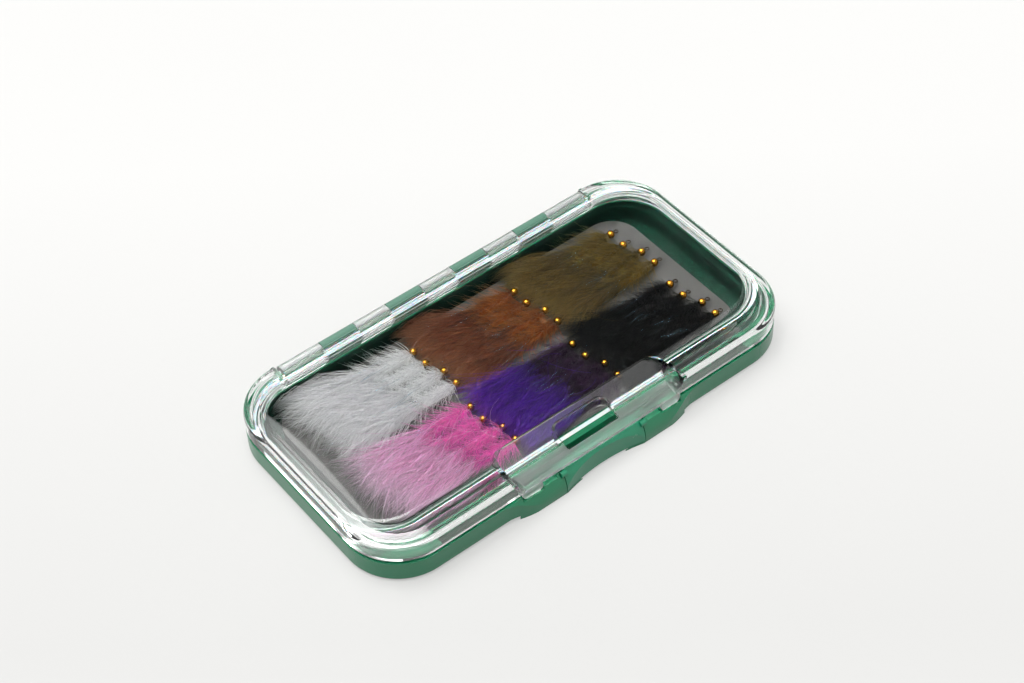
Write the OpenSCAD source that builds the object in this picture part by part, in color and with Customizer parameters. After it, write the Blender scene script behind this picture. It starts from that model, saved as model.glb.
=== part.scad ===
// Slim fly box: a moulded base and a clear lid on a long pin hinge, shut by a sprung push latch,
// with a slotted insert that holds three columns of weighted streamer flies in two banks of four rows.
// X runs along the hinge, +Y towards the hinge, +Z up. The origin is the centre of the underside.

/* [Case] */
// Length of the case, along the hinge
case_l = 190; // [176:1:220]
// Width of the case, without the bulge round the latch
case_w = 100; // [96:1:120]
// Radius of the case's corners, seen from above
corner_r = 22; // [18:0.5:24]
// Height of the base, up to the parting plane
base_h = 11; // [10.4:0.2:16]
// Height of the lid above the parting plane
lid_h = 7.6; // [7.4:0.1:12]
// Gap between the lid and the base's rim when shut
parting_gap = 0.15; // [0.1:0.05:0.3]

/* [Base] */
// Thickness of the floor
floor_t = 1.6; // [1.2:0.1:2.4]
// Radius along the bottom edge
foot_r = 1.8; // [0.8:0.2:2.4]
// Depth and height of the shadow step below the rim
rim_step = 0.9; // [0.4:0.1:1.2]
rim_step_h = 1.5; // [0.8:0.1:2]
// Width of the rim at the short sides
rim_side = 3.6; // [3.4:0.1:5]
// Width of the rim at the hinge side
rim_back = 8; // [7.6:0.1:10]
// Width of the band that houses the latch, at the front
rim_front = 11.8; // [11.4:0.1:14]
// Radius of the compartment's corners
inside_r = 18.5; // [14:0.5:20]
// Width of the ledge inside the rim, and its depth below the parting plane
ledge_w = 1.5; // [0.6:0.1:2]
ledge_drop = 2.3; // [1.8:0.1:4]

/* [Seal] */
// Width of the silicone seal
seal_w = 1.6; // [1.2:0.1:1.8]
// Depth of the groove that the seal lies in
seal_depth = 1.1; // [0.8:0.1:1.6]
// Distance from the compartment's edge to the seal
seal_inset = 0.7; // [0.5:0.1:0.9]
// Height of the seal above the rim
seal_proud = 0.1; // [0.05:0.05:0.1]

/* [Lid] */
// Thickness of the flat top
top_t = 1.8; // [1.4:0.1:2.2]
// Thickness of the outer wall at the front
lid_wall = 2.2; // [1.6:0.1:2.6]
// Thickness of the wall at the short sides
side_wall = 2.1; // [1.6:0.1:2.4]
// Thickness of the inner wall that lands on the seal
skirt_t = 1.6; // [1.3:0.1:1.8]
// Radius along the top edge
crown_r = 1.5; // [0.8:0.1:2]
// Depth and width of the lower border round the top
border_drop = 1; // [0.6:0.1:1.1]
border_w = 3; // [2:0.1:3.4]
// Width of the slope from the border up to the flat top
slope_w = 3.2; // [2:0.1:3.6]
// Radius between the inner wall and the top
inner_fillet = 4; // [1:0.1:4.2]
// Radius between the front's outer wall and the top
front_fillet = 2.6; // [1:0.1:3]

/* [Hinge] */
// Radius of the knuckles
knuckle_r = 2.6; // [2.2:0.1:2.8]
// Radius of the hinge pin
pin_r = 0.8; // [0.6:0.05:1.1]
// Clearance round the pin
pin_fit = 0.05; // [0.03:0.01:0.1]
// Distance from one base knuckle to the next
knuckle_pitch = 30; // [28:0.5:32]
// Length of a knuckle
knuckle_l = 15; // [13:0.5:16]
// Clearance between knuckles, and between the hinge and the walls near it
hinge_gap = 0.3; // [0.2:0.05:0.4]

/* [Thumb scoop] */
// Half of the scoop's length
scoop_half = 38; // [34:0.5:42]
// Width of the scoop, from the front edge to the flat top
scoop_w = 16.5; // [15.5:0.1:17]
// Radius of the hollowed surface
scoop_r = 22; // [18:0.5:30]
// Radius of the scoop's inner corners, seen from above
scoop_corner_r = 8; // [5:0.5:10]
// Radius that the scoop's ends rise by, seen from the front
scoop_end_r = 6.6; // [6.4:0.1:7.2]
// Height of the front lip above the parting plane
lip_h = 1.5; // [1.2:0.1:2]
// Half of the thumb window's length
window_half = 11.6; // [9:0.2:14]
// Height of the thumb window's flat bottom above the parting plane
window_h = 1.3; // [1.2:0.05:1.4]
// Distance from the front edge to the thumb window, and from the window to the flat top
window_front = 0.8; // [0.6:0.1:4]
window_back = 2.5; // [2:0.1:4]
// Corner radius of the thumb window
window_r = 3; // [1.5:0.5:4]

/* [Latch] */
// How far the bulge stands out from the front
bulge = 2.6; // [2.2:0.1:3]
// Half of the bulge's length, and half of its full-depth stretch
bulge_half = 46; // [44:0.5:48]
bulge_flat = 28; // [24:0.5:30]
// Radius of the bulge from top to bottom
bulge_r = 12; // [11:0.5:16]
// Half of the push tab's length
tab_half = 18; // [16:0.2:18.6]
// Depth of the finger hollow in the push tab
tab_hollow = 2.3; // [1.6:0.1:2.4]
// Travel of the push tab, which frees the hooks' barbs
tab_travel = 1.2; // [1:0.1:1.3]
// Clearance round the push tab
tab_gap = 0.3; // [0.2:0.05:0.4]
// Half of the catch bar's length
bar_half = 27.4; // [26.8:0.2:30]
// Distance of the lid's hooks from the middle, and their width
hook_x = 23.8; // [23:0.2:24.4]
hook_w = 5; // [4:0.2:6]
// Distance of the lid's opening lugs from the middle, and their width
lug_x = 31.6; // [31:0.2:33]
lug_w = 8.8; // [7:0.2:9]
// Depth of the opening lugs below the parting plane, and their thickness
lug_drop = 2.8; // [2:0.1:3.2]
lug_t = 0.9; // [0.8:0.1:1.4]
// Height of the catch bar and of the neck that carries it
bar_h = 6; // [4.6:0.2:6.2]
// Wall between the latch's channel and the compartment
channel_wall = 4.6; // [4:0.1:5]
// Radius and wire of the latch's springs
spring_r = 1.5; // [1.2:0.1:1.6]
spring_wire = 0.4; // [0.3:0.05:0.5]

/* [Insert] */
// Thickness of the insert
insert_t = 3.6; // [3:0.1:4]
// Thickness of the adhesive sheet under it
tape_t = 0.2; // [0.1:0.05:0.3]
// Distance from the insert to the compartment's ends and sides
insert_end = 7.9; // [4:0.1:9]
insert_side = 1.7; // [1:0.1:2.4]
// Corner radius of the insert
insert_r = 12; // [8:0.5:14]
// Width of a slit beyond the hook's wire
slit_fit = 0.1; // [0.06:0.01:0.2]

/* [Flies] */
// Distance between rows in a bank
row_pitch = 7.4; // [7.2:0.05:7.8]
// Distance from the middle between the banks to their first rows
bank_gap = 6.2; // [5.6:0.1:6.6]
// How far the banks sit towards the front
bank_shift = 0.7; // [0:0.1:1]
// Distance from the insert's end to the first heads
head_in = 11.1; // [9:0.1:13.4]
// Distance from one column to the next
col_pitch = 47.5; // [46:0.5:49]
// How far the two outer rows of a column are set forward
stagger = 3; // [2:0.1:4]
// Radius of a bead head
bead_r = 1.6; // [1.3:0.05:1.8]
// Radius of the hook's wire
wire_r = 0.35; // [0.25:0.05:0.4]
// Length of the shank behind the bead
shank_l = 14; // [12:0.5:16]
// Length of the hook's straight end before its point, and of the point
barb_l = 3.4; // [2.5:0.1:4]
point_l = 2; // [1:0.1:2.4]
// Radius of the hook's bend
bend_r = 2.5; // [2.2:0.1:2.6]
// Radius of the wound body
body_r = 2.1; // [1.7:0.1:2.2]
// Height of the shank above the insert
shank_h = 2.4; // [2.35:0.05:2.8]
// How much longer the tails of the column at the left end are
long_tail_extra = 7; // [3:0.5:8]

/* [Hidden] */
$fn = 64;
small_fn = 32;
eps = 0.01;

// Heights
lid_z = base_h + parting_gap;
top_z = base_h + lid_h;
insert_z = floor_t + tape_t;
insert_top = insert_z + insert_t;

// Compartment: its length, width and middle at the rim, and the narrower part below the ledge
in_l = case_l - 2 * rim_side;
in_w = case_w - rim_front - rim_back;
in_y = (rim_front - rim_back) / 2;
well_l = in_l - 2 * ledge_w;
well_w = in_w - ledge_w;
well_y = in_y + ledge_w / 2;
front_y = -case_w / 2;
in_front = in_y - in_w / 2;
in_back = in_y + in_w / 2;

// Skirt of the lid, which lands on the seal
skirt_in = 0.6;
skirt_l = case_l - 2 * side_wall;
skirt_w = in_w + 2 * skirt_in;
skirt_r = corner_r - side_wall;
wall_back = in_back + skirt_in + 1.5;

// Hinge
hinge_y = wall_back + hinge_gap + knuckle_r;
hinge_z = top_z - knuckle_r - 0.2;
hinge_half = case_l / 2 - corner_r - 1.5;
relief_r = hinge_z - lid_z - 0.15;
knuckle_x = [-1.5, -0.5, 0.5, 1.5] * knuckle_pitch;
lid_knuckle_x = [-1, 0, 1] * knuckle_pitch;
lid_knuckle_half = (knuckle_pitch - knuckle_l) / 2 - hinge_gap;
end_knuckle = knuckle_x[3] + knuckle_l / 2 + hinge_gap;

// Channel behind the front wall, and the latch in it
channel_front = front_y + 1.8;
channel_back = in_front - channel_wall;
channel_floor = 2;
channel_half = case_l / 2 - corner_r - 3;
opening_z = 0.8;
hook_front = channel_front + 0.6;
hook_back = hook_front + 0.9;
hook_barb = tab_travel - 0.3;
bar_front = hook_back + tab_gap;
bar_back = bar_front + 1.5;
bar_low = channel_floor + 0.3;
bar_high = bar_low + bar_h;
catch_low = bar_high - 1.8;
spring_seat = 2.2;
spring_l = channel_back + spring_seat - bar_back - 0.1;
spring_z = bar_low + 2.2;
spring_x = 12;
guide_r = 1.1;
guide_l = 1.4;
guide_z = base_h - guide_r - 0.7;
guide_y = front_y - bulge + bulge_r - sqrt(pow(bulge_r, 2) - pow(guide_z - foot_r, 2)) - 0.5;

// Flies
insert_l = well_l - 2 * insert_end;
insert_w = well_w - 2 * insert_side;
head_x = [for (c = [0:2]) insert_l / 2 - head_in - c * col_pitch];
row_y = [for (r = [0:3]) bank_gap + r * row_pitch];
row_step = [stagger, stagger, 0, 0];
shank_z = insert_top + shank_h;
tail_clear = 0.3;
tail_r = row_pitch / 2 - tail_clear;
tail_z = insert_top + tail_clear + tail_r;
tail_start = shank_l - 0.1;
tail_l = col_pitch - tail_start - stagger - bead_r - 2.6;
long_tail_l = tail_l + long_tail_extra;
fly_names = ["white", "rust", "olive", "pink", "purple", "black"];
// Column of each colour, and its bank: 1 behind the middle, -1 in front of it
fly_column = [2, 1, 0, 2, 1, 0];
fly_bank = [1, 1, 1, -1, -1, -1];

green = "#1d6b47";
clear = [0.85, 0.9, 0.88, 0.35];

// ---------- helpers ----------

// Rounded rectangle from true arcs
module rounded(l, w, r) {
    square([l - 2 * r, w], center = true);
    square([l, w - 2 * r], center = true);
    for (sx = [-1, 1]) for (sy = [-1, 1])
        translate([sx * (l / 2 - r), sy * (w / 2 - r)]) circle(r = r);
}

// Sweeps a section round a rounded rectangle: the section's x runs inwards from the outline, its y is z
module around(l, w, r) {
    for (a = [0, 180]) rotate([0, 0, a]) {
        translate([l / 2 - r, w / 2 - r, 0])
            rotate_extrude(angle = 90) translate([r, 0]) mirror([1, 0]) children();
        translate([-l / 2 + r, w / 2 - r, 0]) rotate([0, 0, 90])
            rotate_extrude(angle = 90) translate([r, 0]) mirror([1, 0]) children();
        translate([-l / 2 + r, -w / 2, 0]) rotate([90, 0, 90]) linear_extrude(l - 2 * r) children();
        translate([-l / 2, w / 2 - r, 0]) rotate([90, 0, 0]) linear_extrude(w - 2 * r) children();
    }
}

// Ring of a given thickness inside a rounded rectangle
module ring(l, w, r, t, h) {
    difference() {
        linear_extrude(h) rounded(l, w, r);
        translate([0, 0, -1]) linear_extrude(h + 2) rounded(l - 2 * t, w - 2 * t, r - t);
    }
}

// Corner left by a fillet of radius r, to be cut off an edge at the section's origin
module edge_corner(r) {
    difference() {
        translate([-1, -1]) square(r + 1);
        translate([r, r]) circle(r = r);
    }
}

// Fillet of radius r that fills the corner at the section's origin
module fillet(r) {
    difference() {
        translate([-0.2, -0.2]) square(r + 0.2);
        translate([r, r]) circle(r = r);
    }
}

// Rod along X from x0 to x1
module rod_x(x0, x1, r) {
    translate([x0, 0, 0]) rotate([0, 90, 0]) cylinder(r = r, h = x1 - x0);
}

// Block between two corners
module block(a, b) {
    translate(a) cube(b - a);
}

// ---------- base ----------

// Outline of the bulge round the latch, with shoulders of true arcs
module bulge_outline() {
    run = (bulge_half - bulge_flat) / 2;
    shoulder_r = (run * run + bulge * bulge / 4) / bulge;
    mid_y = front_y - bulge / 2;
    intersection() {
        union() {
            translate([-bulge_flat, front_y - bulge]) square([2 * bulge_flat, bulge]);
            for (s = [-1, 1]) translate([s * bulge_flat, front_y - bulge + shoulder_r])
                circle(r = shoulder_r, $fn = 180);
        }
        translate([-bulge_half, front_y - bulge - 1]) square([2 * bulge_half, bulge / 2 + 1]);
    }
    difference() {
        translate([-bulge_half, mid_y - eps]) square([2 * bulge_half, bulge / 2 + 1]);
        for (s = [-1, 1]) translate([s * bulge_half, front_y - shoulder_r]) circle(r = shoulder_r, $fn = 180);
    }
}

// Swollen front: a cylinder along X that the bulge and the tab are cut to
module bulge_swell(half) {
    translate([0, front_y - bulge + bulge_r, foot_r]) rod_x(-half, half, bulge_r, $fn = 128);
}

// The base's outside, before anything is cut out of it
module base_block() {
    difference() {
        union() {
            linear_extrude(base_h) rounded(case_l, case_w, corner_r);
            intersection() {
                linear_extrude(base_h - rim_step_h) bulge_outline();
                bulge_swell(bulge_half + 1);
            }
        }
        around(case_l, case_w, corner_r) edge_corner(foot_r);
        around(case_l, case_w, corner_r)
            translate([-1, base_h - rim_step_h]) square([rim_step + 1, rim_step_h + 1]);
    }
}

// Knuckles that rise from the base behind the lid's wall
module base_knuckles() {
    for (x = knuckle_x) {
        translate([0, hinge_y, hinge_z]) rod_x(x - knuckle_l / 2, x + knuckle_l / 2, knuckle_r);
        block([x - knuckle_l / 2, hinge_y - knuckle_r, base_h - 1],
              [x + knuckle_l / 2, hinge_y + knuckle_r, hinge_z]);
    }
}

module base_tray() color(green) {
    difference() {
        union() {
            base_block();
            base_knuckles();
        }
        // Compartment, with a ledge inside the rim
        translate([0, in_y, base_h - ledge_drop]) linear_extrude(ledge_drop + 1) rounded(in_l, in_w, inside_r);
        translate([0, well_y, floor_t]) linear_extrude(base_h) rounded(well_l, well_w, inside_r - ledge_w / 2);
        // Groove for the seal
        translate([0, in_y, base_h - seal_depth])
            ring(in_l + 2 * (seal_inset + seal_w), in_w + 2 * (seal_inset + seal_w),
                 inside_r + seal_inset + seal_w, seal_w, seal_depth + 1);
        // Channel for the latch
        block([-channel_half, channel_front, channel_floor], [channel_half, channel_back, base_h + 1]);
        // Opening for the push tab, with slots for its guide lugs
        block([-tab_half - tab_gap, front_y - bulge - 1, opening_z],
              [tab_half + tab_gap, channel_front + 1, base_h + 1]);
        block([-tab_half - guide_l - tab_gap, front_y - bulge - 1, guide_z - guide_r - tab_gap],
              [tab_half + guide_l + tab_gap, channel_front + 1, base_h + 1]);
        for (s = [-1, 1]) {
            // Notches over the catches
            block([s * hook_x - hook_w / 2 - 0.6, front_y - bulge - 1, base_h - 2.4],
                  [s * hook_x + hook_w / 2 + 0.6, channel_front + 1, base_h + 1]);
            // Pockets for the lid's opening lugs
            block([s * lug_x - lug_w / 2 - tab_gap, front_y - bulge - 1, base_h - lug_drop - tab_gap],
                  [s * lug_x + lug_w / 2 + tab_gap, front_y + 0.7, base_h + 1]);
            // Seats for the latch's springs
            translate([s * spring_x, channel_back + spring_seat, spring_z]) rotate([90, 0, 0])
                cylinder(r = spring_r + 0.1, h = spring_seat + 1, $fn = small_fn);
        }
        finger_hollow();
        translate([0, hinge_y, hinge_z]) rod_x(-hinge_half, hinge_half, pin_r + pin_fit);
    }
}

// ---------- latch ----------

// Space that the finger hollow takes out of the push tab and of the lip under it
module finger_hollow() {
    face_r = (tab_half * tab_half + tab_hollow * tab_hollow) / (2 * tab_hollow);
    translate([0, front_y - bulge + tab_hollow - face_r, -1]) cylinder(r = face_r, h = base_h + 2, $fn = 180);
}

module push_latch() color("#27805a") {
    // Tab: its face follows the bulge and is hollowed for a finger
    difference() {
        intersection() {
            block([-tab_half, front_y - bulge, opening_z + tab_gap],
                  [tab_half, front_y + 1.1, base_h - rim_step_h + 0.4]);
            bulge_swell(tab_half + 1);
        }
        finger_hollow();
    }
    // Guide lugs at the tab's ends
    for (s = [0, 1]) mirror([s, 0, 0]) translate([0, guide_y, guide_z])
        rod_x(tab_half - 1, tab_half + guide_l, guide_r, $fn = small_fn);
    // Neck from the tab back to the catch bar, and the bar
    block([-tab_half + 0.5, front_y + 1, bar_low], [tab_half - 0.5, bar_back, bar_high]);
    block([-bar_half, bar_front, catch_low], [bar_half, bar_back, bar_high]);
}

module latch_springs() color("silver") {
    for (s = [-1, 1]) translate([s * spring_x, channel_back + spring_seat - 0.05, spring_z]) rotate([90, 0, 0])
        difference() {
            cylinder(r = spring_r, h = spring_l, $fn = small_fn);
            translate([0, 0, -1]) cylinder(r = spring_r - spring_wire, h = spring_l + 2, $fn = small_fn);
        }
}

// ---------- seal and pin ----------

module rim_seal() color([0.75, 0.76, 0.78]) {
    fit = 0.05;
    out = seal_inset + seal_w - fit;
    translate([0, in_y, base_h - seal_depth + fit])
        ring(in_l + 2 * out, in_w + 2 * out, inside_r + out, seal_w - 2 * fit, seal_depth + seal_proud - fit);
}

module hinge_pin() color("silver") {
    translate([0, hinge_y, hinge_z]) rod_x(-hinge_half + 2, hinge_half - 2, pin_r);
}

// ---------- lid ----------

// Middle of the arc of radius r that dips from point a to point b (each [y, z])
function dip_centre(a, b, r) =
    let (m = (a + b) / 2, d = b - a, l = norm(d), k = sqrt(r * r - l * l / 4) / l) m + [d[1], -d[0]] * k;

scoop_back = front_y + scoop_w;
scoop_mid = dip_centre([scoop_back, top_z], [front_y, lid_z + lip_h], scoop_r);

// Plan of the scoop, grown by a margin
module scoop_plan(grow) {
    back = scoop_back + grow;
    translate([0, back - case_w / 2]) rounded(2 * (scoop_half + grow), case_w, scoop_corner_r + grow);
}

// Space of the scoop, with its hollow surface lowered and its plan grown by the same margin
module scoop_space(grow) {
    intersection() {
        translate([0, 0, lid_z]) linear_extrude(2 * lid_h) scoop_plan(grow);
        translate([0, scoop_mid[0], scoop_mid[1]])
            rod_x(-scoop_half - scoop_end_r, scoop_half + scoop_end_r, scoop_r + grow, $fn = 180);
        union() {
            end_x = scoop_half - scoop_end_r;
            for (s = [-1, 1]) translate([s * end_x, 0, top_z]) rotate([90, 0, 0])
                cylinder(r = scoop_end_r + grow, h = case_w, $fn = 96);
            block([-end_x, -case_w, top_z - scoop_end_r - grow], [end_x, 0, top_z + scoop_end_r]);
        }
    }
}

// Plan of the thumb window, grown by a margin
module window_plan(grow) {
    w = scoop_w - window_front - window_back;
    translate([0, front_y + window_front + w / 2])
        rounded(2 * (window_half + grow), w + 2 * grow, window_r + grow);
}

// Section of the border, cut off the lid's top: its y runs down from the flat top
module border_section() {
    slope_end = border_w + slope_w;
    polygon([[-1, -1], [slope_end, -1], [slope_end, 0], [border_w, border_drop], [-1, border_drop]]);
    translate([0, border_drop]) edge_corner(crown_r);
}

// Outer wall, inner wall and top, before the scoop and the hinge are cut
module lid_shell() {
    difference() {
        translate([0, 0, lid_z]) linear_extrude(top_z - lid_z) rounded(case_l, case_w, corner_r);
        // Space between the outer wall and the inner wall
        translate([0, 0, lid_z - 1]) linear_extrude(lid_h - top_t + 1 - parting_gap)
            difference() {
                rounded(case_l - 2 * lid_wall, case_w - 2 * lid_wall, corner_r - lid_wall);
                translate([0, in_y]) rounded(skirt_l + 2 * skirt_t, skirt_w + 2 * skirt_t, skirt_r + skirt_t);
            }
        // Space over the compartment
        translate([0, in_y, lid_z - 1]) linear_extrude(lid_h - top_t + 1 - parting_gap)
            rounded(skirt_l, skirt_w, skirt_r);
        translate([0, 0, top_z]) mirror([0, 0, 1]) around(case_l, case_w, corner_r) border_section();
    }
    // Fillets between the walls and the top
    translate([0, in_y, top_z - top_t]) mirror([0, 0, 1])
        around(skirt_l, skirt_w, skirt_r) fillet(inner_fillet);
    translate([0, 0, top_z - top_t]) mirror([0, 0, 1])
        around(case_l - 2 * lid_wall, case_w - 2 * lid_wall, corner_r - lid_wall) fillet(front_fillet);
}

// Hooks that drop into the channel, with barbs under the catch bar
module lid_hooks() {
    barb_top = catch_low - 0.3;
    for (s = [-1, 1]) {
        block([s * hook_x - hook_w / 2, hook_front, barb_top - 1],
              [s * hook_x + hook_w / 2, hook_back, lid_z + lip_h]);
        block([s * hook_x - hook_w / 2, hook_back - 0.2, barb_top - 1],
              [s * hook_x + hook_w / 2, hook_back + hook_barb, barb_top]);
    }
}

// Lugs on the front lip that a finger opens the lid by
module lid_lugs() {
    lug_r = 2;
    for (s = [-1, 1]) translate([s * lug_x, front_y + 0.4, 0]) rotate([90, 0, 0]) linear_extrude(lug_t)
        translate([0, lid_z + (lip_h - lug_drop) / 2]) rounded(lug_w, lip_h + lug_drop, lug_r);
}

module lid_knuckles() {
    for (x = lid_knuckle_x) lid_knuckle(x - lid_knuckle_half, x + lid_knuckle_half);
    for (s = [0, 1]) mirror([s, 0, 0]) lid_knuckle(end_knuckle, hinge_half - 1);
}

// One knuckle from x0 to x1, on a web that joins it to the lid's wall
module lid_knuckle(x0, x1) {
    translate([0, hinge_y, hinge_z]) rod_x(x0, x1, knuckle_r);
    block([x0, wall_back - 1, hinge_z - knuckle_r], [x1, hinge_y, hinge_z + knuckle_r]);
}

module lid() color(clear) {
    difference() {
        union() {
            difference() {
                union() {
                    lid_shell();
                    // Plate under the scoop, with its end walls, and the bottom and walls of the thumb window
                    intersection() {
                        union() {
                            scoop_space(skirt_t);
                            linear_extrude(top_z - crown_r) window_plan(skirt_t - 0.1);
                        }
                        block([-case_l / 2, front_y, lid_z], [case_l / 2, 0, top_z - 0.5]);
                    }
                    lid_hooks();
                }
                scoop_space(0);
                // Thumb window: a flat-bottomed pocket in the scoop
                translate([0, 0, lid_z + window_h]) linear_extrude(lid_h + 2) window_plan(0);
                // Room for the hinge behind the lid's wall
                block([-hinge_half, wall_back, base_h - 1], [hinge_half, case_w, top_z + 1]);
            }
            lid_lugs();
            lid_knuckles();
            // Ends of the room for the hinge
            for (s = [0, 1]) mirror([s, 0, 0]) intersection() {
                block([hinge_half, wall_back - 1, lid_z], [hinge_half + 1.5, case_w / 2, top_z]);
                linear_extrude(top_z - crown_r) rounded(case_l, case_w, corner_r);
            }
        }
        translate([0, hinge_y, hinge_z]) rod_x(-hinge_half, hinge_half, pin_r + pin_fit);
        // Relief at the back corners, which swing down past the rim
        for (s = [0, 1]) mirror([s, 0, 0]) difference() {
            block([hinge_half, hinge_y, lid_z - 1], [case_l / 2, case_w, hinge_z]);
            translate([0, hinge_y, hinge_z]) rod_x(0, case_l, relief_r);
        }
    }
}

// ---------- insert ----------

module insert_plan(shrink) {
    translate([0, in_y]) rounded(insert_l - 2 * shrink, insert_w - 2 * shrink, insert_r - shrink);
}

// Puts its children at each fly of one colour, with the bead's middle at the origin
module each_fly(index) {
    for (r = [0:3])
        translate([head_x[fly_column[index]] + row_step[fly_bank[index] > 0 ? r : 3 - r],
                   in_y - bank_shift + fly_bank[index] * row_y[r], shank_z]) children();
}

module insert() color("#5a5a5c") {
    difference() {
        translate([0, 0, insert_z]) linear_extrude(insert_t) insert_plan(0);
        for (i = [0:5]) each_fly(i)
            block([-shank_l - bend_r - 1.2, -wire_r - slit_fit / 2, -shank_h - insert_t + 0.4],
                  [-shank_l + barb_l + point_l + bend_r - 0.9, wire_r + slit_fit / 2, -shank_h + 1]);
    }
}

module insert_tape() color("#d8d4c8") {
    translate([0, 0, floor_t]) linear_extrude(tape_t) insert_plan(1);
}

// ---------- flies ----------

// Hook: eye, shank, round bend and point
module hook() {
    eye_r = 0.75;
    rod_x(-shank_l, bead_r + 0.5, wire_r, $fn = small_fn);
    translate([bead_r + 0.4 + eye_r, 0, 0]) rotate_extrude($fn = small_fn)
        translate([eye_r, 0]) circle(r = wire_r * 0.85, $fn = small_fn);
    translate([-shank_l, 0, -bend_r]) rotate([90, 0, 0]) rotate([0, 0, 90]) rotate_extrude(angle = 180)
        translate([bend_r, 0]) circle(r = wire_r, $fn = small_fn);
    translate([0, 0, -2 * bend_r]) rod_x(-shank_l, -shank_l + barb_l, wire_r, $fn = small_fn);
    translate([-shank_l + barb_l, 0, -2 * bend_r]) rotate([0, 90, 0])
        cylinder(r1 = wire_r, r2 = wire_r / 7, h = point_l, $fn = small_fn);
}

module bead() {
    rotate([0, 90, 0]) rotate_extrude($fn = small_fn) difference() {
        circle(r = bead_r, $fn = small_fn);
        translate([-2 * bead_r, -2 * bead_r]) square([2 * bead_r + wire_r + 0.05, 4 * bead_r]);
    }
}

// Body: turns of hackle wound on the shank
module wound_body() {
    turns = 6;
    start = bead_r + 0.3;
    turn_l = (shank_l - start - 0.4) / turns;
    rotate([0, -90, 0]) rotate_extrude($fn = small_fn) difference() {
        union() {
            translate([0, start]) square([body_r - 0.35, turns * turn_l]);
            for (i = [0:turns - 1])
                polygon([[0, start + i * turn_l], [body_r - 0.2 - 0.06 * i, start + i * turn_l],
                         [body_r - 0.05 * i, start + (i + 0.5) * turn_l],
                         [body_r - 0.2 - 0.06 * i, start + (i + 1) * turn_l], [0, start + (i + 1) * turn_l]]);
        }
        translate([-1, 0]) square([1 + wire_r + 0.05, 2 * shank_l]);
    }
}

// Tail: one closed spindle for a plume of soft fibres, of length l, with a slot that the hook's bend sits in
module plume(l) {
    slot_w = wire_r + 0.15;
    difference() {
        translate([-tail_start, 0, tail_z - shank_z]) rotate([0, -90, 0]) rotate_extrude($fn = small_fn)
            polygon([[0, 0], [1.2, 0], [0.72 * tail_r, 0.08 * l], [0.94 * tail_r, 0.2 * l], [tail_r, 0.36 * l],
                     [0.93 * tail_r, 0.56 * l], [0.7 * tail_r, 0.76 * l], [0.36 * tail_r, 0.92 * l], [0, l]]);
        block([-shank_l - bend_r - slot_w, -slot_w, -2 * shank_h], [0, slot_w, slot_w]);
    }
}

fly_body = ["#d9d6cf", "#7a3418", "#5d4a12", "#e0228c", "#1c0f2c", "#0d0f12"];
fly_tail = ["#c9c8d0", "#8a4a35", "#7b5a20", "#e8a0cc", "#4a1a86", "#15181c"];

module fly_hooks(i) color("#3a3a3c") each_fly(i) hook();
module fly_beads(i) color("gold") each_fly(i) bead();
module fly_bodies(i) color(fly_body[i]) each_fly(i) wound_body();
module fly_tails(i) color(fly_tail[i]) each_fly(i) plume(fly_column[i] == 2 ? long_tail_l : tail_l);

base_tray();
push_latch();
latch_springs();
rim_seal();
hinge_pin();
insert();
insert_tape();
for (i = [0:5]) {
    fly_hooks(i);
    fly_beads(i);
    fly_bodies(i);
    fly_tails(i);
}
lid();
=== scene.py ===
# Looks of the fly box: a green moulded base, a clear hinged lid and streamer flies in a slotted insert.
import math
import random

import bmesh
import bpy
from mathutils import Matrix, Vector


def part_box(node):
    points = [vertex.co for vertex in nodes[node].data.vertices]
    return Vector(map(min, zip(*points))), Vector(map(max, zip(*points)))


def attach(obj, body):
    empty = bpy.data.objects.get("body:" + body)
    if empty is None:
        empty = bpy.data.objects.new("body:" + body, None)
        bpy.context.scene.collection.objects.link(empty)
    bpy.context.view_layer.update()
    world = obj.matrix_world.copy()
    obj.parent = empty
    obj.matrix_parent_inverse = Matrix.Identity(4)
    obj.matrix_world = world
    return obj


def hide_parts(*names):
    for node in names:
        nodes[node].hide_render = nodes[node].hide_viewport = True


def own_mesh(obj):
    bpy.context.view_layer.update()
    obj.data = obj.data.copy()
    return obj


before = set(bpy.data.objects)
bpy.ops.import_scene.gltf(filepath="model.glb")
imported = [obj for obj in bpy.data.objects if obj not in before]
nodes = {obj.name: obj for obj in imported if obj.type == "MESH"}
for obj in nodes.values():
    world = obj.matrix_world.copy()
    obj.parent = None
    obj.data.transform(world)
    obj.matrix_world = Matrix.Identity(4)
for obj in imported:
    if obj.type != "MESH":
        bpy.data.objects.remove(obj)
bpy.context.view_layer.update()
MM = 0.001

# ---------------------------------------------------------------- camera

# Angles of the photograph's camera: down from the horizon, round the box, and tilt of the frame.
DOWN, ROUND, TILT = math.radians(47.69), math.radians(36.58), math.radians(-2.495)
CAMERA_AT = Vector((-321.298, -432.159, 614.061)) * MM
LENS_MM, FILM_MM = 77.896, 36.0


def camera():
    """Camera that looks at the closed box as the photograph does."""
    cd, sd, cr, sr = math.cos(DOWN), math.sin(DOWN), math.cos(ROUND), math.sin(ROUND)
    right = Vector((cr, -sr, 0))
    down = Vector((-sr * sd, -cr * sd, -cd))
    ahead = Vector((sr * cd, cr * cd, -sd))
    ct, st = math.cos(TILT), math.sin(TILT)
    right, down = right * ct - down * st, right * st + down * ct
    data = bpy.data.cameras.new("camera")
    data.lens, data.sensor_width = LENS_MM, FILM_MM
    data.clip_start, data.clip_end = 0.01, 20
    eye = bpy.data.objects.new("camera", data)
    turn = Matrix((right, -down, -ahead)).transposed().to_4x4()
    eye.matrix_world = Matrix.Translation(CAMERA_AT) @ turn
    bpy.context.scene.collection.objects.link(eye)
    bpy.context.scene.camera = eye


# ---------------------------------------------------------------- materials


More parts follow.
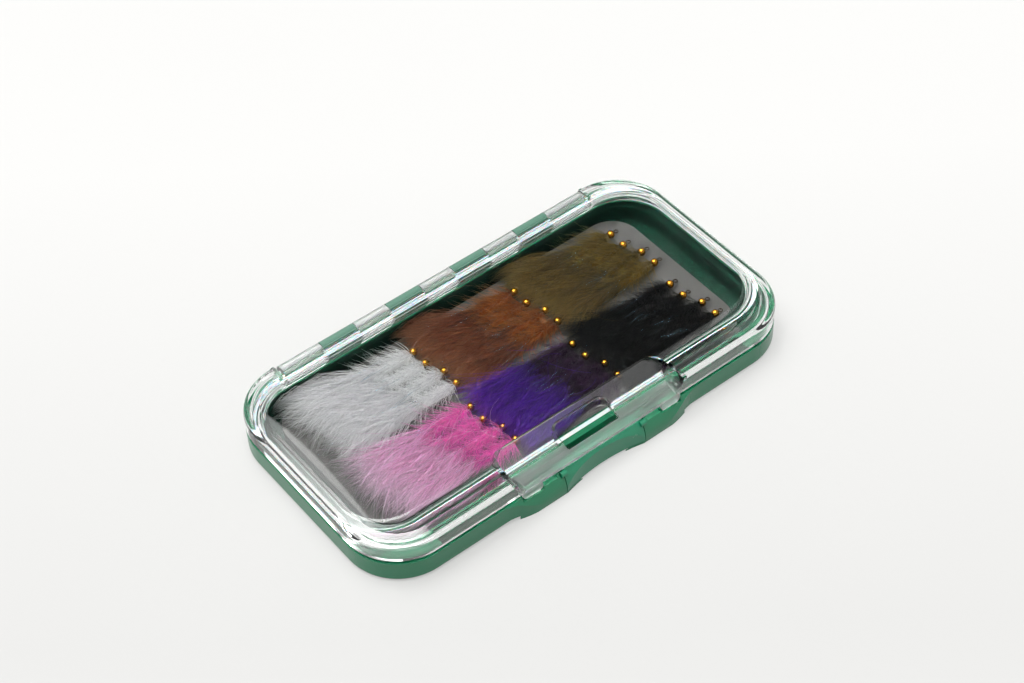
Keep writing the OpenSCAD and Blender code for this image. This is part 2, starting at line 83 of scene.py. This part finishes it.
def rgb(hex_code):
    """sRGB hex colour as linear RGBA."""
    values = [int(hex_code[i:i + 2], 16) / 255 for i in (1, 3, 5)]
    return tuple(v / 12.92 if v <= 0.04045 else ((v + 0.055) / 1.055) ** 2.4 for v in values) + (1.0,)


def add(tree, kind, settings=None, links=None):
    """Adds a shader node with its settings; a link is input: (node, output)."""
    node = tree.nodes.new("ShaderNode" + kind)
    for key, value in (settings or {}).items():
        if isinstance(key, int) or key in node.inputs:
            node.inputs[key].default_value = value
        else:
            setattr(node, key, value)
    for key, (source, output) in (links or {}).items():
        tree.links.new(source.outputs[output], node.inputs[key])
    return node


def blank(name, **surface):
    """A new material: its tree and its surface shader with plain settings."""
    material = bpy.data.materials.new(name)
    material.use_nodes = True
    tree = material.node_tree
    shader = tree.nodes["Principled BSDF"]
    for key, value in surface.items():
        shader.inputs[key.replace("_", " ")].default_value = value
    return material, tree, shader


def wear(tree, grain_mm, low, high):
    """Cloudy value between low and high at a real grain, and the coordinates that it uses."""
    place = add(tree, "TexCoord")
    noise = {"Scale": 1 / (grain_mm * MM), "Detail": 4.0}
    cloud = add(tree, "TexNoise", noise, {"Vector": (place, "Object")})
    level = add(tree, "MapRange", {"To Min": low, "To Max": high}, {"Value": (cloud, "Fac")})
    return place, cloud, level


def in_box(tree, place, spans, soft=0.2):
    """1 inside a box and 0 outside it, with soft sides; spans is {axis: (low, high)} in mm."""
    axes = add(tree, "SeparateXYZ", {}, {"Vector": (place, "Object")})
    mask = None
    for axis, (low, high) in spans.items():
        for outer, inner in ((low - soft, low), (high + soft, high)):
            edge = {"From Min": outer * MM, "From Max": inner * MM}
            side = add(tree, "MapRange", edge, {"Value": (axes, axis)})
            both = {0: (mask, 0), 1: (side, 0)}
            mask = add(tree, "Math", {"operation": "MULTIPLY"}, both) if mask else side
    return mask


def ribs_along_x(tree, place, pitch_mm):
    """Waves across Y at a real pitch; a wave texture of scale 1 has its bands 0.314 apart."""
    bands = {"bands_direction": "Y", "Scale": 0.314 / (pitch_mm * MM)}
    return add(tree, "TexWave", bands, {"Vector": (place, "Object")})


# Corners of the seal and the lid in mm, which place the finishes below.
(seal_left, seal_front, _), (seal_right, seal_back, _) = (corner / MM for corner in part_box("rim_seal"))
lid_low, lid_high = (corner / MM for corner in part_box("lid"))

# Green of the painted shade inside the compartment, and pale green of the painted reflection on the hinge
# knuckles.
SHADED_INNER_GREEN, PALE_REFLECTION_GREEN = "#0c3025", "#3f5f52"
# Compartment: its walls lie this far inside the seal's outer sides, between the floor and the rim, in mm.
WALL_INSET, FLOOR_Z, RIM_Z = 2.0, 1.2, 10.9
# Hinge: the height from which the knuckles are ribbed and carry a painted reflection, above everything, and
# the pitch of their ribs, in mm.
KNUCKLE_Z, SKY_Z, BASE_RIB, LID_RIB = 13.0, 30.0, 0.6, 0.5


def moulded_abs(name, colour, shade):
    """Injection-moulded ABS: a satin skin with fine mould texture and faint flow clouds, with painted shade
    in the compartment and a painted reflection on the hinge knuckles.
    """
    material, tree, shader = blank(name, IOR=1.53, Roughness=0.3, Specular_IOR_Level=0.5)
    place, cloud, rough = wear(tree, 9, 0.2, 0.3)
    tone = add(tree, "Mix", {"data_type": "RGBA", 6: rgb(colour), 7: rgb(shade)}, {0: (cloud, "Fac")})
    # The mould's spark texture is about 0.05 mm; it is drawn at 0.15 mm so that it shows.
    spark = {"Scale": 1 / (0.15 * MM), "Detail": 2.0}
    grain = add(tree, "TexNoise", spark, {"Vector": (place, "Object")})
    bump = add(tree, "Bump", {"Strength": 0.12, "Distance": 0.02 * MM}, {"Height": (grain, "Fac")})
    # The compartment's inner faces are painted dark green: painted shade for the light that the walls keep
    # out.
    inside = in_box(tree, place, {"X": (seal_left + WALL_INSET, seal_right - WALL_INSET),
                                  "Y": (seal_front + WALL_INSET, seal_back - WALL_INSET),
                                  "Z": (FLOOR_Z, RIM_Z)})
    matt = add(tree, "Mix", {"data_type": "RGBA", 7: rgb(SHADED_INNER_GREEN)}, {0: (inside, 0), 6: (tone, 2)})
    # The hinge knuckles, above the rim, are ribbed, and painted pale as a painted reflection of the bright
    # room.
    knuckle_zone = in_box(tree, place, {"Z": (KNUCKLE_Z, SKY_Z)}, 1.5)
    reflection_share = add(tree, "Math", {"operation": "MULTIPLY", 1: 0.85}, {0: (knuckle_zone, 0)})
    pale = add(tree, "Mix", {"data_type": "RGBA", 7: rgb(PALE_REFLECTION_GREEN)}, {0: (reflection_share, 0), 6: (matt, 2)})
    ribs = ribs_along_x(tree, place, BASE_RIB)
    height = add(tree, "Math", {"operation": "MULTIPLY"}, {0: (ribs, "Fac"), 1: (knuckle_zone, 0)})
    bump = add(tree, "Bump", {"Strength": 0.7, "Distance": 0.15 * MM},
               {"Height": (height, 0), "Normal": (bump, "Normal")})
    tree.links.new(pale.outputs[2], shader.inputs["Base Color"])
    tree.links.new(rough.outputs["Result"], shader.inputs["Roughness"])
    tree.links.new(bump.outputs["Normal"], shader.inputs["Normal"])
    return material


# Thumb scoop: half the length of its lip and of its window, the lip's width, the width of the frosted pad in
# front of the window, and how far the lip's finish stays below the lid's top, in mm.
LIP_HALF, WINDOW_HALF, LIP_W, LIP_PAD, LIP_DROP = 37.0, 11.6, 7.5, 5.2, 3.0
# Hinge of the lid: half its length, how far behind the seal it starts, and a place behind all of it, in mm.
HINGE_HALF, HINGE_GAP, BEYOND = 71.5, 0.6, 60.0


def clear_polycarbonate():
    """Clear moulded polycarbonate: bends what is seen through its walls and shows faint rubbing marks."""
    material, tree, shader = blank("clear_polycarbonate", IOR=1.58, Roughness=0.0, Transmission_Weight=1.0)
    shader.inputs["Base Color"].default_value = rgb("#fbfdfc")
    place = add(tree, "TexCoord")
    # Rubbing marks are about 0.1 mm wide and several millimetres long.
    stretch = add(tree, "Mapping", {"Rotation": (0, 0, 0.5), "Scale": (120, 2600, 120)},
                  {"Vector": (place, "Object")})
    marks = add(tree, "TexNoise", {"Scale": 1.0, "Detail": 3.0}, {"Vector": (stretch, "Vector")})
    rough = add(tree, "MapRange", {"From Min": 0.66, "From Max": 0.8, "To Min": 0.0, "To Max": 0.05},
                {"Value": (marks, "Fac")})
    # The knuckles have fine mould ribs along the hinge, which scatter light.
    ribbed = in_box(tree, place, {"Y": (seal_back + HINGE_GAP, BEYOND), "X": (-HINGE_HALF, HINGE_HALF)})
    frost = add(tree, "Math", {"operation": "MULTIPLY", 1: 0.3}, {0: (ribbed, 0)})
    # The lip in front of the thumb scoop is finely spark-eroded for grip. Its window is clear.
    lip = in_box(tree, place, {"Y": (lid_low.y - 1, lid_low.y + LIP_W), "X": (-LIP_HALF, LIP_HALF),
                               "Z": (lid_low.z - 1, lid_high.z - LIP_DROP)}, 0.6)
    window = in_box(tree, place, {"X": (-WINDOW_HALF, WINDOW_HALF), "Y": (lid_low.y + LIP_PAD, 0.0)}, 0.3)
    bare = add(tree, "Math", {"operation": "MULTIPLY_ADD", 1: -0.9, 2: 1.0}, {0: (window, 0)})
    lip = add(tree, "Math", {"operation": "MULTIPLY"}, {0: (lip, 0), 1: (bare, 0)})
    matt = add(tree, "Math", {"operation": "MULTIPLY_ADD", 1: 0.34}, {0: (lip, 0), 2: (frost, 0)})
    haze = add(tree, "Math", {"operation": "ADD"}, {0: (rough, "Result"), 1: (matt, 0)})
    ribs = ribs_along_x(tree, place, LID_RIB)
    height = add(tree, "Math", {"operation": "MULTIPLY"}, {0: (ribs, "Fac"), 1: (ribbed, 0)})
    bump = add(tree, "Bump", {"Strength": 0.6, "Distance": 0.15 * MM}, {"Height": (height, 0)})
    # Polishing left long streaks in the lip, about 1 mm across.
    along = add(tree, "Mapping", {"Scale": (12, 900, 900)}, {"Vector": (place, "Object")})
    streaks = add(tree, "TexNoise", {"Scale": 1.0, "Detail": 1.0}, {"Vector": (along, "Vector")})
    raised = add(tree, "Math", {"operation": "MULTIPLY"}, {0: (streaks, "Fac"), 1: (lip, 0)})
    bump = add(tree, "Bump", {"Strength": 0.8, "Distance": 0.5 * MM},
               {"Height": (raised, 0), "Normal": (bump, "Normal")})
    tree.links.new(bump.outputs["Normal"], shader.inputs["Normal"])
    tree.links.new(haze.outputs[0], shader.inputs["Roughness"])
    return material


def silicone_cord():
    """Translucent silicone: a soft grey cord that lets light in."""
    material, tree, shader = blank("silicone_cord", IOR=1.41, Subsurface_Weight=0.6,
                                   Subsurface_Scale=1.2 * MM)
    _, cloud, rough = wear(tree, 3, 0.35, 0.5)
    greys = {"data_type": "RGBA", 6: rgb("#c3c6ca"), 7: rgb("#aeb2b8")}
    tone = add(tree, "Mix", greys, {0: (cloud, "Fac")})
    tree.links.new(tone.outputs[2], shader.inputs["Base Color"])
    tree.links.new(rough.outputs["Result"], shader.inputs["Roughness"])
    return material


def slotted_silicone():
    """Moulded silicone sheet: dark grey and matte, with a fine even grain."""
    material, tree, shader = blank("slotted_silicone", IOR=1.43, Roughness=0.55)
    place, cloud, rough = wear(tree, 14, 0.48, 0.62)
    greys = {"data_type": "RGBA", 6: rgb("#413f3e"), 7: rgb("#4a4847")}
    tone = add(tree, "Mix", greys, {0: (cloud, "Fac")})
    pores = {"Scale": 1 / (0.4 * MM), "Detail": 3.0}
    grain = add(tree, "TexNoise", pores, {"Vector": (place, "Object")})
    bump = add(tree, "Bump", {"Strength": 0.25, "Distance": 0.03 * MM}, {"Height": (grain, "Fac")})
    tree.links.new(tone.outputs[2], shader.inputs["Base Color"])
    tree.links.new(rough.outputs["Result"], shader.inputs["Roughness"])
    tree.links.new(bump.outputs["Normal"], shader.inputs["Normal"])
    return material


def drawn_metal(name, colour, low, high):
    """Drawn or turned metal: bright, with fine streaks along its length."""
    material, tree, shader = blank(name, Metallic=1.0)
    shader.inputs["Base Color"].default_value = rgb(colour)
    place = add(tree, "TexCoord")
    # Draw marks: 0.05 mm across and 5 mm long.
    stretch = add(tree, "Mapping", {"Scale": (200, 20000, 20000)}, {"Vector": (place, "Object")})
    marks = add(tree, "TexNoise", {"Scale": 1.0}, {"Vector": (stretch, "Vector")})
    rough = add(tree, "MapRange", {"To Min": low, "To Max": high}, {"Value": (marks, "Fac")})
    tree.links.new(rough.outputs["Result"], shader.inputs["Roughness"])
    return material


FIBRE_LAYER = "Col"


def feather(name, root, tip, sheen):
    """Dyed feather fibre: colour from root to tip is in the fibres' own colour layer, with a soft sheen."""
    material, tree, shader = blank(name, IOR=1.54, Roughness=0.55, Sheen_Weight=sheen, Sheen_Roughness=0.4,
                                   Specular_IOR_Level=0.2, Subsurface_Weight=0.7, Subsurface_Scale=0.8 * MM)
    shader.inputs["Subsurface Radius"].default_value = (1.0, 1.0, 1.0)
    share = add(tree, "VertexColor", {"layer_name": FIBRE_LAYER})
    split = add(tree, "SeparateColor", {}, {"Color": (share, "Color")})
    tone = add(tree, "Mix", {"data_type": "RGBA", 6: rgb(root), 7: rgb(tip)}, {0: (split, "Red")})
    # Each fibre takes the dye a little differently.
    dye = add(tree, "MapRange", {"To Min": 0.42, "To Max": 1.38}, {"Value": (split, "Green")})
    shade = add(tree, "VectorMath", {"operation": "SCALE"}, {0: (tone, 2), "Scale": (dye, "Result")})
    tree.links.new(shade.outputs["Vector"], shader.inputs["Base Color"])
    return material


def tinsel():
    """Pearl tinsel: thin metallised film that flashes green and blue, in patches about 1 mm across."""
    material, tree, shader = blank("pearl_tinsel", IOR=1.6, Metallic=0.85, Roughness=0.12)
    place = add(tree, "TexCoord")
    cloud = add(tree, "TexNoise", {"Scale": 1 / (1.2 * MM)}, {"Vector": (place, "Object")})
    pearls = {"data_type": "RGBA", 6: rgb("#8fe0d8"), 7: rgb("#d6d2ff")}
    flash = add(tree, "Mix", pearls, {0: (cloud, "Fac")})
    tree.links.new(flash.outputs[2], shader.inputs["Base Color"])
    return material


# ---------------------------------------------------------------- studio


# Strengths of the bright sweep low down, the room above it, the softbox, the lamp and the dark curtain.
SWEEP_LIGHT, ROOM_LIGHT, SOFTBOX_LIGHT, LAMP_LIGHT, CURTAIN_LIGHT = 0.95, 0.85, 2.2, 11.5, 0.015
# Towards the dark curtain that the flat lid mirrors, and towards the lamp overhead.
CURTAIN_TO, LAMP_TO = Vector((0.401, 0.540, 0.740)), Vector((-0.12, 0.15, 0.98))
# The softbox, by the x and y of the directions to its middle, and its half sizes.
SOFTBOX_MIDDLE, SOFTBOX_HALF = (-0.073, 0.250), (0.388, 0.388)


def lobe(tree, place, towards, inner, outer):
    """1 within the inner angle (degrees) of a direction and 0 beyond the outer one."""
    dot = add(tree, "VectorMath", {"operation": "DOT_PRODUCT", 1: towards.normalized()},
              {0: (place, "Generated")})
    edges = {"From Min": math.cos(math.radians(outer)), "From Max": math.cos(math.radians(inner))}
    return add(tree, "MapRange", {**edges, "interpolation_type": "SMOOTHSTEP"}, {"Value": (dot, "Value")})


def panel(tree, axes, middle, half):
    """1 inside a rounded rectangle of directions and 0 outside it."""
    terms = []
    for axis, at, reach in zip("XY", middle, half):
        edge = {"From Min": at, "From Max": at + reach, "clamp": False}
        away = add(tree, "MapRange", edge, {"Value": (axes, axis)})
        size = add(tree, "Math", {"operation": "ABSOLUTE"}, {0: (away, "Result")})
        terms.append(add(tree, "Math", {"operation": "POWER", 1: 8.0}, {0: (size, 0)}))
    both = add(tree, "Math", {"operation": "ADD"}, {0: (terms[0], 0), 1: (terms[1], 0)})
    inside = add(tree, "MapRange", {"From Min": 1.01, "From Max": 0.99}, {"Value": (both, 0)})
    up = add(tree, "Math", {"operation": "GREATER_THAN", 1: 0.0}, {0: (axes, "Z")})
    return add(tree, "Math", {"operation": "MULTIPLY"}, {0: (inside, "Result"), 1: (up, 0)})


# The table's way from the camera, and how strongly it glows at two distances (m) that way from the box.
AWAY, GLOW = (0.6, 0.8, 0.0), ((-0.11, 0.41), (0.12, 0.52))


def studio():
    """A lit white table under a softbox and a lamp, in a pale room with one dark curtain."""
    sweep = bmesh.new()
    bmesh.ops.create_grid(sweep, x_segments=8, y_segments=8, size=3.0)
    mesh = bpy.data.meshes.new("floor")
    sweep.to_mesh(mesh)
    sweep.free()
    floor = bpy.data.objects.new("floor", mesh)
    bpy.context.scene.collection.objects.link(floor)
    # A lit table: it glows by itself, more towards the back, so that the box throws almost no shadow.
    material, tree, shader = blank("light_table", Roughness=0.9)
    place, cloud, rough = wear(tree, 300, 0.85, 0.95)
    greys = {"data_type": "RGBA", 6: rgb("#6e6e6d"), 7: rgb("#6b6b6a")}
    tone = add(tree, "Mix", greys, {0: (cloud, "Fac")})
    away = add(tree, "VectorMath", {"operation": "DOT_PRODUCT", 1: AWAY}, {0: (place, "Object")})
    (near, dim), (far, bright) = GLOW
    glow = add(tree, "MapRange", {"From Min": near, "From Max": far, "To Min": dim, "To Max": bright},
               {"Value": (away, "Value")})
    tree.links.new(tone.outputs[2], shader.inputs["Base Color"])
    tree.links.new(rough.outputs["Result"], shader.inputs["Roughness"])
    tree.links.new(glow.outputs["Result"], shader.inputs["Emission Strength"])
    shader.inputs["Emission Color"].default_value = (1.0, 0.995, 0.985, 1.0)
    mesh.materials.append(material)

    world = bpy.data.worlds.new("studio")
    bpy.context.scene.world = world
    world.use_nodes = True
    tree = world.node_tree
    back = tree.nodes["Background"]
    place = add(tree, "TexCoord")
    axes = add(tree, "SeparateXYZ", {}, {"Vector": (place, "Generated")})
    # The room from low to high, with the curtain, the softbox and the lamp laid over it in turn.
    room = add(tree, "MapRange", {"From Min": 0.26, "From Max": 0.45, "To Min": SWEEP_LIGHT,
                                  "To Max": ROOM_LIGHT, "interpolation_type": "SMOOTHSTEP"},
               {"Value": (axes, "Z")})
    curtain = lobe(tree, place, CURTAIN_TO, 12, 17)
    softbox = panel(tree, axes, SOFTBOX_MIDDLE, SOFTBOX_HALF)
    lamp = lobe(tree, place, LAMP_TO, 21, 29)
    shaded = add(tree, "Mix", {3: CURTAIN_LIGHT}, {0: (curtain, "Result"), 2: (room, "Result")})
    boxed = add(tree, "Mix", {3: SOFTBOX_LIGHT}, {0: (softbox, 0), 2: (shaded, 0)})
    both = add(tree, "Mix", {3: LAMP_LIGHT}, {0: (lamp, "Result"), 2: (boxed, 0)})
    tree.links.new(both.outputs[0], back.inputs["Strength"])
    back.inputs["Color"].default_value = (1.0, 1.0, 0.995, 1.0)
    bpy.context.scene.view_settings.view_transform = "Standard"
    # Light that comes through the clear lid keeps its direction.
    bpy.context.scene.cycles.blur_glossy = 0.0


# ---------------------------------------------------------------- fibres

# Sides of a strand, in radians round it.
STRAND_SIDES = (0, 2.094, 4.189)
FUR_TOP = 12.4 * MM
# The fur's room in plan: how far it stays inside the seal at the ends, front and back, and its corner
# radius, in mm.
ROOM_END, ROOM_FRONT, ROOM_BACK, ROOM_CORNER = 4.3, 5.7, 2.9, 17.0
room_near = Vector((seal_left + ROOM_END, seal_front + ROOM_FRONT)) * MM
room_far = Vector((seal_right - ROOM_END, seal_back - ROOM_BACK)) * MM


def kept_in(point, low):
    """The point moved into the fur's room: a rounded rectangle in plan, from low up to the fur's top."""
    radius = ROOM_CORNER * MM
    x, y = min(max(point.x, room_near.x), room_far.x), min(max(point.y, room_near.y), room_far.y)
    centre = Vector((min(max(x, room_near.x + radius), room_far.x - radius),
                     min(max(y, room_near.y + radius), room_far.y - radius)))
    out = Vector((x, y)) - centre
    if out.length > radius:
        x, y = centre + out.normalized() * radius
    return Vector((x, y, min(max(point.z, low), FUR_TOP)))


class Fibres:
    """Gathers thin tapered fibres into one mesh, each a closed three-sided spike."""

    def __init__(self):
        self.points, self.faces, self.shades = [], [], []

    def spike(self, path, width, dye):
        """One fibre along a path, widest at its root and ending in a point."""
        first = len(self.points)
        count = len(path)
        for i, at in enumerate(path[:-1]):
            ahead = (path[i + 1] - path[max(i - 1, 0)]).normalized()
            across = ahead.cross(Vector((0, 0, 1)))
            across = across.normalized() if across.length > 0.05 else Vector((0, 1, 0))
            rise = across.cross(ahead)
            girth = width * (1 - 0.75 * i / (count - 1))
            for turn in STRAND_SIDES:
                self.points.append(at + (across * math.cos(turn) + rise * math.sin(turn)) * girth)
                self.shades.append((i / (count - 1), dye))
        self.points.append(path[-1])
        self.shades.append((1.0, dye))
        for i in range(count - 2):
            low, high = first + 3 * i, first + 3 * i + 3
            for a, b in ((0, 1), (1, 2), (2, 0)):
                self.faces.append((low + a, low + b, high + b, high + a))
        last, tip = first + 3 * (count - 2), len(self.points) - 1
        for a, b in ((0, 1), (1, 2), (2, 0)):
            self.faces.append((last + a, last + b, tip))
        self.faces.append((first, first + 2, first + 1))

    def tuft(self, middle, profile, low, rng):
        """A closed spindle of combed fibre along -X, with ridges along it; profile is [(x, half width)]."""
        around, first = 36, len(self.points)
        ridge = [rng.uniform(0.84, 1.1) for _ in range(around)]
        dye = [rng.random() for _ in range(around)]
        twist = rng.uniform(-0.05, 0.05)
        for i, (x, half) in enumerate(profile):
            for k in range(around):
                turn = 2 * math.pi * k / around
                reach = half * ridge[(k + int(i * twist * 10)) % around] * rng.uniform(0.97, 1.03)
                at = Vector((-x, reach * math.cos(turn), 0.62 * reach * math.sin(turn))) * MM
                self.points.append(kept_in(middle + at, low))
                self.shades.append((i / (len(profile) - 1), dye[k]))
        for i in range(len(profile) - 1):
            for k in range(around):
                a, b = first + i * around + k, first + i * around + (k + 1) % around
                self.faces.append((a, b, b + around, a + around))
        last = first + (len(profile) - 1) * around
        self.faces.append(tuple(range(first + around - 1, first - 1, -1)))
        self.faces.append(tuple(range(last, last + around)))

    def piece(self, name, material, node):
        """The gathered fibres as one piece that stands for a CAD node."""
        mesh = bpy.data.meshes.new(name)
        mesh.from_pydata([tuple(p) for p in self.points], [], self.faces)
        layer = mesh.color_attributes.new(FIBRE_LAYER, "FLOAT_COLOR", "POINT")
        for i, (share, dye) in enumerate(self.shades):
            layer.data[i].color = (share, dye, 0, 1)
        for face in mesh.polygons:
            face.use_smooth = True
        mesh.materials.append(material)
        obj = bpy.data.objects.new(name, mesh)
        bpy.context.scene.collection.objects.link(obj)
        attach(obj, "case")
        if node:
            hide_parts(node)
        return obj


# Distance between the rows of flies, in mm, and half a bead as a share of it.
ROW_PITCH, BEAD_SHARE = 7.4, 0.2


def fly_heads(colour):
    """Middle of each bead of a colour, from the beads' own solids."""
    mesh = nodes[colour + "_beads"].data
    low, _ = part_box(colour + "_beads")
    rows = {}
    for vertex in mesh.vertices:
        row = round((vertex.co.y - low.y) / (ROW_PITCH * MM) - BEAD_SHARE)
        rows.setdefault(row, []).append(vertex.co)
    heads = []
    for group in rows.values():
        axes = [[corner[i] for corner in group] for i in range(3)]
        heads.append(Vector([(min(values) + max(values)) / 2 for values in axes]))
    return sorted(heads, key=lambda head: head.y)


# ---------------------------------------------------------------- the box

camera()
studio()

abs_green = moulded_abs("moulded_abs_green", "#075a3b", "#0a6141")
abs_tab = moulded_abs("moulded_abs_tab", "#096043", "#0d6749")
for node, material in (("base_tray", abs_green), ("push_latch", abs_tab), ("lid", clear_polycarbonate()),
                       ("rim_seal", silicone_cord()), ("insert", slotted_silicone()),
                       ("hinge_pin", drawn_metal("stainless_pin", "#c9c9cc", 0.18, 0.3)),
                       ("latch_springs", drawn_metal("spring_wire", "#b9b9bd", 0.2, 0.35)),
                       ("insert_tape", slotted_silicone())):
    nodes[node].data.materials.clear()
    nodes[node].data.materials.append(material)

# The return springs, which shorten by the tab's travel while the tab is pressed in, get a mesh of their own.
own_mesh(nodes["latch_springs"])

hook_wire = drawn_metal("bronzed_hook_wire", "#3b3330", 0.25, 0.4)
gold_plate = drawn_metal("gold_plated_brass", "#b9832c", 0.1, 0.24)

# ---------------------------------------------------------------- flies

# Colours of each fly: hackle root and tip, plume root and tip, and the sheen of both.
FLIES = {
    "white": ("#fdf8ff", "#ffffff", "#fcf6ff", "#fffcff", 0.8),
    "rust": ("#561c05", "#a0521e", "#51200c", "#8e5034", 0.05),
    "olive": ("#2c2006", "#745a24", "#382a0c", "#7a6030", 0.04),
    "pink": ("#ff22ac", "#ff6ac8", "#ff90d6", "#ffdcf5", 0.35),
    "purple": ("#0d030f", "#2b1030", "#2c0766", "#5a26b0", 0.04),
    "black": ("#010102", "#07090b", "#020303", "#0a0d0f", 0.0),
}
# Distances along a fly from its bead, in mm: the hackle's end, the plume's start, and its reach by column.
HACKLE_END, PLUME_START, PLUME_REACH, LONG_REACH = 20.0, 17.0, 49.0, 56.0
# Strands of each fly, and the half widths of the cores of its hackle and plume, in mm.
HACKLE_BARBS, PLUME_BARBS, STRAY_BARBS, TINSELS = 600, 620, 9, 3
HACKLE_CORE, PLUME_CORE = 2.0, 2.9
# How far a fly that lies 30 mm from the middle leans outwards, as the tangent of its angle.
LEAN, LEAN_AT = 0.32, 30


def swell(length, half, count, blunt):
    """Half widths along a tuft: it swells to its full width and ends in a blunt or a fine tip."""
    profile = []
    for i in range(count + 1):
        t = i / count
        rise, fall = min(1, (t / 0.16) ** 0.6), max(0.0, 1 - t ** blunt) ** 0.7
        profile.append((length * t, half * max(0.06, rise * fall)))
    return profile


def hackle_barbs(fibres, head, low, drift, rng):
    """Barbs wound on the shank from the bead back, over a short core."""
    core = swell(HACKLE_END - 1, HACKLE_CORE, 12, 5)
    fibres.tuft(head + Vector((-1.2, 0, -0.4)) * MM, core, low, rng)
    for _ in range(HACKLE_BARBS):
        along = 0.9 + (HACKLE_END - 0.9) * rng.random() ** 1.15
        turn = rng.uniform(-0.6, math.pi + 0.6)
        sweep, length = rng.uniform(0.3, 1.5), rng.uniform(4.5, 10.5)
        side = rng.gauss(drift, 0.5)
        out = Vector((0, math.cos(turn), 0.8 * math.sin(turn)))
        at = head + Vector((-along * MM, 0, 0)) + out * 0.4 * MM
        path = []
        for i in range(4):
            t = i / 3
            p = at + out * (length * t * (1 - 0.4 * t) * math.sin(sweep) * MM)
            back = -length * t * math.cos(sweep) - 1.5 * t * t
            p += Vector((back, length * side * t * t, -0.8 * t * t)) * MM
            path.append(kept_in(p, low))
        fibres.spike(path, rng.uniform(0.06, 0.13) * MM, rng.random())


def plume_barbs(fibres, head, low, reach, drift, rng):
    """Soft barbs that run back over a core and fan out behind it."""
    core = swell(0.8 * reach - PLUME_START, PLUME_CORE, 20, 2.0)
    fibres.tuft(head + Vector((-PLUME_START, 0, -1.6)) * MM, core, low, rng)
    for _ in range(PLUME_BARBS):
        start = PLUME_START + 21 * rng.random() ** 1.1
        length = min((reach - start) * rng.uniform(0.55, 1.05), 25) + 2
        fan, curl = rng.gauss(drift, 0.3), rng.gauss(0, 0.34)
        side = rng.gauss(0, 1.4)
        at = head + Vector((-start, side, rng.uniform(-1.0, 0.6 + 0.07 * start))) * MM
        hump = rng.uniform(0.2, 2.2) * min(1, (start - PLUME_START) / 8 + 0.3)
        path = []
        for i in range(5):
            t = i / 4
            y = side * 0.4 * t + length * (math.sin(fan) * t + curl * t * t)
            p = at + Vector((-length * t, y, 4 * hump * t * (1 - t) - 1.4 * t * t)) * MM
            path.append(kept_in(p, low))
        fibres.spike(path, (0.05 + 0.11 * rng.random() ** 2) * MM, rng.random())


def stray_barb(fibres, head, low, rng):
    """One thin barb that has come loose and lies beside its fly."""
    length, fan, curl = rng.uniform(9, 22), rng.uniform(-0.9, 0.9), rng.gauss(0, 0.5)
    at = head + Vector((-rng.uniform(2, 34), rng.gauss(0, 2.5), rng.uniform(1.0, 3.2))) * MM
    path = []
    for i in range(8):
        t = i / 7
        turn = fan + curl * t
        p = at + Vector((-length * t * math.cos(turn), length * t * math.sin(turn), 1.2 * t)) * MM
        path.append(kept_in(p, low))
    fibres.spike(path, 0.06 * MM, rng.uniform(0.6, 1))


def tinsel_strand(fibres, head, low, reach, rng):
    """One strand of tinsel that lies along the plume."""
    start, fan = rng.uniform(12, 20), rng.gauss(0, 0.12)
    at = head + Vector((-start, rng.gauss(0, 1.5), rng.uniform(1.6, 2.6))) * MM
    ahead = Vector((-math.cos(fan), math.sin(fan), -0.05))
    length = (reach - start) * rng.uniform(0.8, 1.1)
    path = [kept_in(at + ahead * length * t / 5 * MM, low) for t in range(6)]
    fibres.spike(path, 0.06 * MM, rng.random())


insert_low, insert_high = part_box("insert")
pearl = tinsel()
pearl["slot"] = "white_plume"


def dress_fly(colour, seed):
    """Hackle, plume and tinsel of four flies of a colour, and the metals of their beads and hooks."""
    rng = random.Random(seed)
    hackle_root, hackle_tip, plume_root, plume_tip, sheen = FLIES[colour]
    hackle, plume, flash = Fibres(), Fibres(), Fibres()
    low = insert_high.z + 0.12 * MM
    middle_y = (insert_low.y + insert_high.y) / 2
    for head in fly_heads(colour):
        drift = LEAN * (head.y - middle_y) / (LEAN_AT * MM)
        hackle_barbs(hackle, head, low, drift, rng)
        reach = LONG_REACH if head.x < -0.01 else PLUME_REACH
        plume_barbs(plume, head, low, reach, drift, rng)
        for _ in range(STRAY_BARBS):
            stray_barb(plume, head, low, rng)
        for _ in range(TINSELS):
            tinsel_strand(flash, head, low, reach, rng)
    for name, fibres, root, tip, slot, node in (
            ("hackle", hackle, hackle_root, hackle_tip, "hackle", "bodies"),
            ("marabou", plume, plume_root, plume_tip, "plume", "tails")):
        material = feather(f"{colour}_{name}", root, tip, sheen)
        material["slot"] = f"{colour}_{slot}"
        fibres.piece(f"{colour}_{name}_barbs", material, f"{colour}_{node}")
    flash.piece(f"{colour}_tinsel", pearl, None)
    for part, metal in (("hooks", hook_wire), ("beads", gold_plate)):
        nodes[f"{colour}_{part}"].data.materials.clear()
        nodes[f"{colour}_{part}"].data.materials.append(metal)


for seed, colour in enumerate(FLIES):
    dress_fly(colour, 100 + seed)
